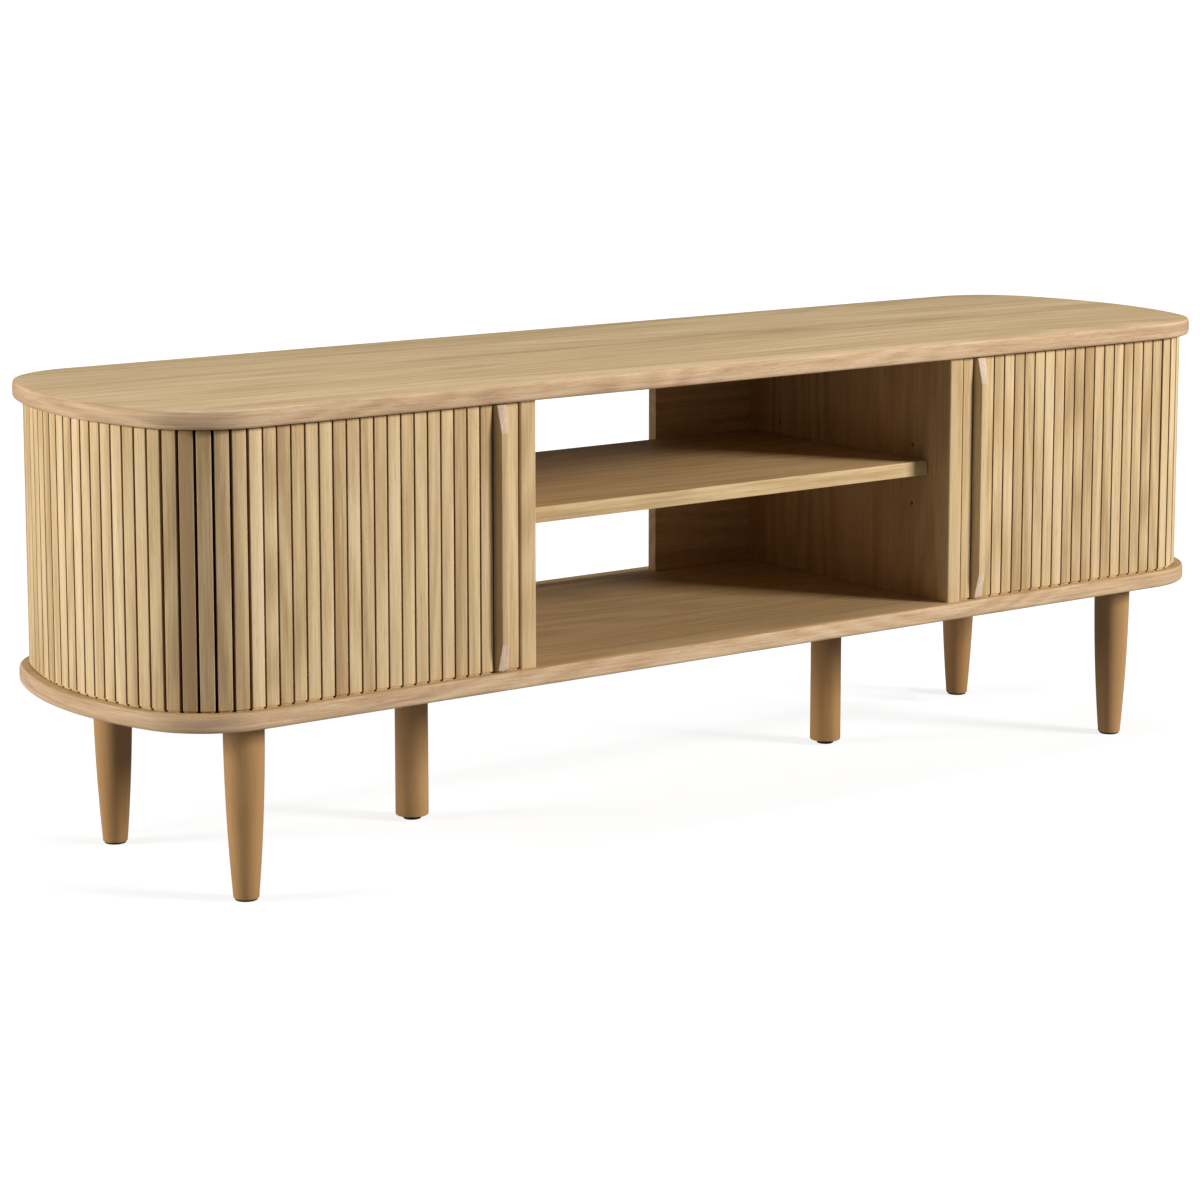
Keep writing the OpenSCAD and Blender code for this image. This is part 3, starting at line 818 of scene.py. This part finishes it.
def handle_solid(sign):
    """A bar with tapering sides and two ends that slope down to the slat."""
    x = DOOR_X + 1.5 * PITCH
    y = -HALF_D + OVERHANG
    length = SLAT_Z1 - SLAT_Z0
    levels = []
    for z, inset in HANDLE_TIPS + ((HANDLE_SLOPE - HANDLE_SOFT, 0.0),):
        out = HANDLE_END_OUT + (HANDLE_OUT - HANDLE_END_OUT) * z / HANDLE_SLOPE
        levels.append((z, out, inset))
    levels.append((HANDLE_SLOPE, HANDLE_OUT - HANDLE_DIP, 0.0))
    levels.append((HANDLE_SLOPE + HANDLE_SOFT, HANDLE_OUT, 0.0))
    levels += [(length - z, out, inset) for z, out, inset in levels[::-1]]
    rings = []
    for z, out, inset in levels:
        face = HANDLE_FOOT_W - (HANDLE_FOOT_W - HANDLE_FACE_W) * out / HANDLE_OUT
        foot = HANDLE_FOOT_W / 2
        outline = [(-face / 2, -out), (face / 2, -out), (foot, 0.0), (-foot, 0.0)]
        ring = section(outline, HANDLE_RADII, inset)
        rings.append([((x + u) * sign, y + v, SLAT_Z0 + z) for u, v in ring])
    return loft(rings)


POST_R = 0.0025
POST_END_R = 0.0002

# Painted shade: two slats at the front left corner are darker than the rest
SHADED_LEFT_CORNER = {23: -0.17, 24: -0.23}
for side, sign in (("left", -1), ("right", 1)):
    low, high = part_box(side + "_post")
    outline = [(low.x, low.y), (high.x, low.y), (high.x, high.y), (low.x, high.y)]
    radii = [POST_R, POST_R, BACK_ARRIS, BACK_ARRIS]
    post = prism("z", outline, radii, low.z, high.z, POST_END_R, 6)
    sticks(side + "_post", [post], material=SOLID_OAK)
    sticks(side + "_handle", [handle_solid(sign)], material=SOLID_OAK, sloped_ends=True)
    door_slats(side + "_lead_slat", sign, 1, 1)
    door_slats(side + "_handle_slat", sign, 2, 2)
    shaded_slats = SHADED_LEFT_CORNER if side == "left" else {}
    front = door_slats(side + "_front_slats", sign, 3, 2 + FRONT_COUNT, shaded_slats)
    door_slats(side + "_end_slats", sign, 3 + FRONT_COUNT, 2 + FRONT_COUNT + END_COUNT, shaded_slats)
    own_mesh(front)


# ---- the doors' canvas backing ----------------------------------------------------

CLOTH_STEP = 0.006
CLOTH_NEAR = 0.0001
CLOTH_FAR = 0.0008
SEAM = 0.0002


def cloth_band(node, sign, s_from, s_to):
    """Canvas glued behind the slats, from one length along the door's path to another."""
    low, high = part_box(node)
    steps = max(2, int((s_to - s_from) / CLOTH_STEP))
    rings = []
    for i in range(steps + 1):
        x, y, heading = on_path(s_from + (s_to - s_from) * i / steps)
        ring = []
        for d, z in ((CLOTH_NEAR, low.z), (CLOTH_NEAR, high.z),
                     (CLOTH_FAR, high.z), (CLOTH_FAR, low.z)):
            ring.append(((x - math.sin(heading) * d) * sign, y + math.cos(heading) * d, z))
        rings.append(ring)
    obj = make_object(node + "_finished", loft(rings), [CANVAS_SHADE])
    grain = np.zeros((len(obj.data.vertices), 3))
    for k, vertex in enumerate(obj.data.vertices):
        grain[k] = (s_from + (s_to - s_from) * (k // 4) / steps, vertex.co.z, 0.0)
    store_grain(obj.data, "POINT", grain)
    soften(obj)
    finish_piece(obj, node)
    return obj


FRONT_END_S = (2 + FRONT_COUNT) * PITCH
TAIL_S = FRONT_END_S + END_COUNT * PITCH
for side, sign in (("left", -1), ("right", 1)):
    cloth_band(side + "_lead_canvas", sign, DOOR_GAP, 2 * PITCH - SEAM)
    front = cloth_band(side + "_front_canvas", sign, 2 * PITCH + SEAM, FRONT_END_S)
    cloth_band(side + "_end_canvas", sign, FRONT_END_S + 2 * SEAM, TAIL_S)
    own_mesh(front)


# ---- legs, pads and glides --------------------------------------------------------

LEG_TOP_R = 0.0227
LEG_FOOT_R = 0.0142
CENTRE_LEG_R = 0.0197
FOOT_ROUND = 0.0016
LEG_STEPS = 40
CENTRE_LEG_STEPS = 8


def leg(node, profile):
    low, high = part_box(node)
    centre = ((low.x + high.x) / 2, (low.y + high.y) / 2)
    obj = make_object(node + "_finished", lathe("z", centre, profile, 72), [LEG_WOOD])
    lay_grain(obj, "z", spread=0.08)
    soften(obj)
    return finish_piece(obj, node)


def foot_round(radius, z):
    """The rounded bottom edge of a leg, as the start of its profile."""
    quarter = [math.radians(90.0 * k / 4) for k in range(5)]
    return [(radius - FOOT_ROUND + FOOT_ROUND * math.sin(a), z + FOOT_ROUND * (1 - math.cos(a)))
            for a in quarter]


for name in ("front_left_leg", "back_left_leg", "front_right_leg", "back_right_leg"):
    low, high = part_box(name)
    height = high.z - low.z
    profile = foot_round(LEG_FOOT_R, low.z)
    for k in range(1, LEG_STEPS + 1):
        t = 1 - k / LEG_STEPS
        z = low.z + FOOT_ROUND + (height - FOOT_ROUND) * (1 - t)
        profile.append((LEG_TOP_R - (LEG_TOP_R - LEG_FOOT_R) * t * t, z))
    leg(name, profile)
for name in ("left_centre_leg", "right_centre_leg"):
    low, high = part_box(name)
    height = high.z - low.z
    profile = foot_round(CENTRE_LEG_R, low.z)
    for k in range(1, CENTRE_LEG_STEPS + 1):
        z = low.z + FOOT_ROUND + (height - FOOT_ROUND) * k / CENTRE_LEG_STEPS
        profile.append((CENTRE_LEG_R, z))
    leg(name, profile)

# (inset from the rim, height) up a glide's pad, then its threaded stem
GLIDE_PAD = ((0.0012, 0.0), (0.0004, 0.0003), (0.0, 0.001), (0.0, 0.0036), (0.0004, 0.0042),
             (0.0012, 0.0045))
PAD_TOP = 0.0045
STEM_FOOT_R = 0.0042
THREAD = ((0.0034, 0.0), (0.0040, 0.0004), (0.0040, 0.0006), (0.0034, 0.001))
THREAD_START = 0.0047
THREAD_PITCH = 0.00125
THREAD_END = 0.0014
STEM_TIP_R = 0.0028

for side in ("left", "right"):
    low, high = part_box(side + "_glide")
    centre = ((low.x + high.x) / 2, (low.y + high.y) / 2)
    pad_r = (high.x - low.x) / 2
    profile = [(pad_r - inset, low.z + up) for inset, up in GLIDE_PAD]
    profile.append((STEM_FOOT_R, low.z + PAD_TOP))
    z = low.z + THREAD_START
    while z < high.z - THREAD_END:
        profile += [(r, z + up) for r, up in THREAD]
        z += THREAD_PITCH
    profile.append((STEM_TIP_R, high.z))
    obj = make_object(side + "_glide_finished", lathe("z", centre, profile, 40), [NYLON])
    soften(obj)
    finish_piece(obj, side + "_glide")

LEG_X = 0.657
LEG_Y = 0.147
# (radius, height) up a corner leg's pad, then (radius, distance from its top)
LEG_PAD = ((0.0115, 0.0), (0.0123, 0.0004), (0.0125, 0.001))
LEG_PAD_TOP = ((0.0125, 0.0003), (0.0121, 0.0))
low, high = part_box("leg_pads")
profile = [(r, low.z + up) for r, up in LEG_PAD]
profile += [(r, high.z - down) for r, down in LEG_PAD_TOP]
pads = [lathe("z", (sx * LEG_X, sy * LEG_Y), profile) for sx in (-1, 1) for sy in (-1, 1)]
obj = make_object("leg_pads_finished", merged(pads), [NYLON])
soften(obj)
finish_piece(obj, "leg_pads")


# ---- pins and knock-down fittings -------------------------------------------------

PIN_L = 0.0165
# (share of the radius, distance from the end) over the rounded end of a pin
PIN_TIP = ((0.7, 0.0), (0.93, 0.0003), (1.0, 0.0008))


def pin_set(node):
    """The four steel pegs that a shelf rests on, rounded at both ends."""
    low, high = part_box(node)
    r = (high.z - low.z) / 2
    z = (low.z + high.z) / 2
    solids = []
    for x in (low.x, high.x - PIN_L):
        profile = [(r * share, x + d) for share, d in PIN_TIP]
        profile += [(r * share, x + PIN_L - d) for share, d in PIN_TIP[::-1]]
        for y in PIN_Y:
            solids.append(lathe("x", (y, z), profile, 32))
    obj = make_object(node + "_finished", merged(solids), [STEEL])
    soften(obj)
    finish_piece(obj, node)


for name in ("centre_shelf_pins", "left_shelf_pins", "right_shelf_pins"):
    pin_set(name)


CAM_DISC_R = 0.0074
CAM_DISC_T = 0.0126
CAM_RIM = 0.0004
CROSS_ARM = 0.0042
CROSS_HALF = 0.0008
CROSS_START = 0.0005
CROSS_DEPTH = 0.0022
# One arm of the cross, turned four times
CROSS = []
for quarter in range(4):
    for u, v in ((-CROSS_HALF, -CROSS_ARM), (CROSS_HALF, -CROSS_ARM), (CROSS_HALF, -CROSS_HALF)):
        for _ in range(quarter):
            u, v = -v, u
        CROSS.append((u, v))


def cam_set():
    """Zinc cams let into the boards, each with a cross slot for the screwdriver."""
    discs = []
    slots = []
    for sign in (-1, 1):
        divider_face = sign * (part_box("right_divider")[1].x)
        side_face = sign * (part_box("right_inner_side")[0].x)
        for face, into in ((divider_face, -sign), (side_face, sign)):
            for y, z in CAM_PLACES:
                near, far = sorted((face, face + into * CAM_DISC_T))
                profile = [(CAM_DISC_R - CAM_RIM, near), (CAM_DISC_R, near + CAM_RIM),
                           (CAM_DISC_R, far - CAM_RIM), (CAM_DISC_R - CAM_RIM, far)]
                discs.append(lathe("x", (y, z), profile, 40))
                ends = sorted((face - into * CROSS_START, face + into * CROSS_DEPTH))
                slots.append(loft([[(x, y + u, z + v) for u, v in CROSS] for x in ends]))
    obj = make_object("cam_locks_finished", merged(discs), [CAM_METAL])
    cut(obj, merged(slots))
    soften(obj)
    finish_piece(obj, "cam_locks")


cam_set()

# CAD nodes whose shape is right, which only get a material
KEPT = (("dowels", DOWEL_WOOD, "dowel_wood"),
        ("leg_bolts", STEEL, "steel"),
        ("leg_inserts", STEEL, "steel"),
        ("cam_bolts", STEEL, "steel"),
        ("left_handle_screws", STEEL, "steel"),
        ("right_handle_screws", STEEL, "steel"))
for name, material, slot in KEPT:
    mesh = NODES[name].data
    mesh.materials.clear()
    mesh.materials.append(material)


# ---- stage, lights and camera -----------------------------------------------------

FLOOR_HALF = 30
FLOOR_Z = -0.0002


def stage_material():
    """A matt floor that the camera sees as white and that throws little light upwards."""
    material, tree, bsdf = new_material("pale_floor")
    coords = add_node(tree, "ShaderNodeTexCoord").outputs["Object"]
    soft = noise(tree, coords, (3, 3, 3), 3.0).outputs["Fac"]
    tree.links.new(ramp(tree, soft, ((0.3, (0.28, 0.28, 0.28)), (0.7, (0.31, 0.31, 0.31)))),
                   bsdf.inputs["Base Color"])
    reach = add_node(tree, "ShaderNodeVectorMath", {0: coords}, operation="LENGTH")
    fade = {"Value": reach.outputs["Value"], "From Min": 1.0, "From Max": 3.5,
            "To Min": 0.82, "To Max": 1.02}
    faded = add_node(tree, "ShaderNodeMapRange", fade).outputs["Result"]
    bsdf.inputs["Roughness"].default_value = 0.9
    bsdf.inputs["Specular IOR Level"].default_value = 0.1
    seen = add_node(tree, "ShaderNodeLightPath").outputs["Is Camera Ray"]
    tree.links.new(math_node(tree, "MULTIPLY", seen, faded), bsdf.inputs["Emission Strength"])
    bsdf.inputs["Emission Color"].default_value = (1.0, 1.0, 1.0, 1.0)
    return material


mesh = bpy.data.meshes.new("floor")
corners = [(sx * FLOOR_HALF, sy * FLOOR_HALF, FLOOR_Z)
           for sx, sy in ((-1, -1), (1, -1), (1, 1), (-1, 1))]
mesh.from_pydata(corners, [], [(0, 1, 2, 3)])
mesh.materials.append(stage_material())
floor = bpy.data.objects.new("floor", mesh)
bpy.context.scene.collection.objects.link(floor)

# The world lights the scene faintly and is white to the camera
AMBIENT = 0.08
world = bpy.data.worlds.new("studio")
bpy.context.scene.world = world
world.use_nodes = True
tree = world.node_tree
background = tree.nodes["Background"]
seen = add_node(tree, "ShaderNodeLightPath").outputs["Is Camera Ray"]
background.inputs["Color"].default_value = (1.0, 1.0, 1.0, 1.0)
strength = math_node(tree, "MULTIPLY_ADD", seen, 1.0)
strength.node.inputs[2].default_value = AMBIENT
tree.links.new(strength, background.inputs["Strength"])


def soft_light(name, azimuth, elevation, distance, target, size, power):
    """A softbox. Azimuth is measured from the front (-Y) towards +X."""
    a = math.radians(azimuth)
    e = math.radians(elevation)
    towards = Vector((math.sin(a) * math.cos(e), -math.cos(a) * math.cos(e), math.sin(e)))
    lamp = bpy.data.lights.new(name, "AREA")
    lamp.shape = "RECTANGLE"
    lamp.size = size[0]
    lamp.size_y = size[1]
    lamp.energy = power
    obj = bpy.data.objects.new(name, lamp)
    obj.location = Vector(target) + towards * distance
    obj.rotation_euler = towards.to_track_quat("Z", "Y").to_euler()
    bpy.context.scene.collection.objects.link(obj)
    return obj


key_right = soft_light("key_right", 38, 20, 8.0, (0.1, -0.2, 0.35), (2.0, 2.0), 715)
key_left = soft_light("key_left", -116, 11, 5.0, (-0.8, 0.0, 0.4), (1.6, 1.6), 290)
key_right.visible_glossy = False
key_left.visible_glossy = False
soft_light("overhead", 0, 90, 3.0, (0.0, 0.1, 0.55), (3.0, 1.6), 58)


def gauze(name, passed):
    """A screen that lets a share of the light through."""
    material, tree, _ = new_material(name)
    clear = add_node(tree, "ShaderNodeBsdfTransparent", {"Color": (passed, passed, passed, 1.0)})
    tree.links.new(clear.outputs[0], tree.nodes["Material Output"].inputs["Surface"])
    return material


def flag(name, material, start, end, z0, z1):
    """An upright screen that holds light back and is seen by nothing."""
    corners = [(*start, z0), (*end, z0), (*end, z1), (*start, z1)]
    mesh = bpy.data.meshes.new(name)
    mesh.from_pydata(corners, [], [(0, 1, 2, 3)])
    mesh.materials.append(material)
    obj = bpy.data.objects.new(name, mesh)
    bpy.context.scene.collection.objects.link(obj)
    for ray in ("camera", "diffuse", "glossy", "transmission", "volume_scatter"):
        setattr(obj, "visible_" + ray, False)


# A flag keeps the left softbox off the inside of the bay, and gauzes dim it on the edge of the
# back panel beside the bay's gap and on the back right leg
FLAG_Z = (0.2, 0.53)
flag("bay_flag", CORE, (-0.1545, 0.1787), (0.1545, 0.1787), *FLAG_Z)
flag("edge_gauze", gauze("gauze", 0.15), (-0.16, 0.1955), (0.16, 0.1955), *FLAG_Z)
flag("leg_gauze", gauze("leg_gauze", 0.35), (0.585, 0.135), (0.625, 0.215), 0.0, 0.18)

camera_data = bpy.data.cameras.new("camera")
camera_data.sensor_width = 36.0
camera_data.lens = 100.85
camera_data.shift_y = -0.12
camera = bpy.data.objects.new("camera", camera_data)
camera.location = (-2.4629, -3.2120, 1.0200)
camera.rotation_euler = (math.radians(90.0 - 8.578), 0.0, math.radians(-36.70))
bpy.context.scene.collection.objects.link(camera)
bpy.context.scene.camera = camera
bpy.context.scene.view_settings.view_transform = "Standard"
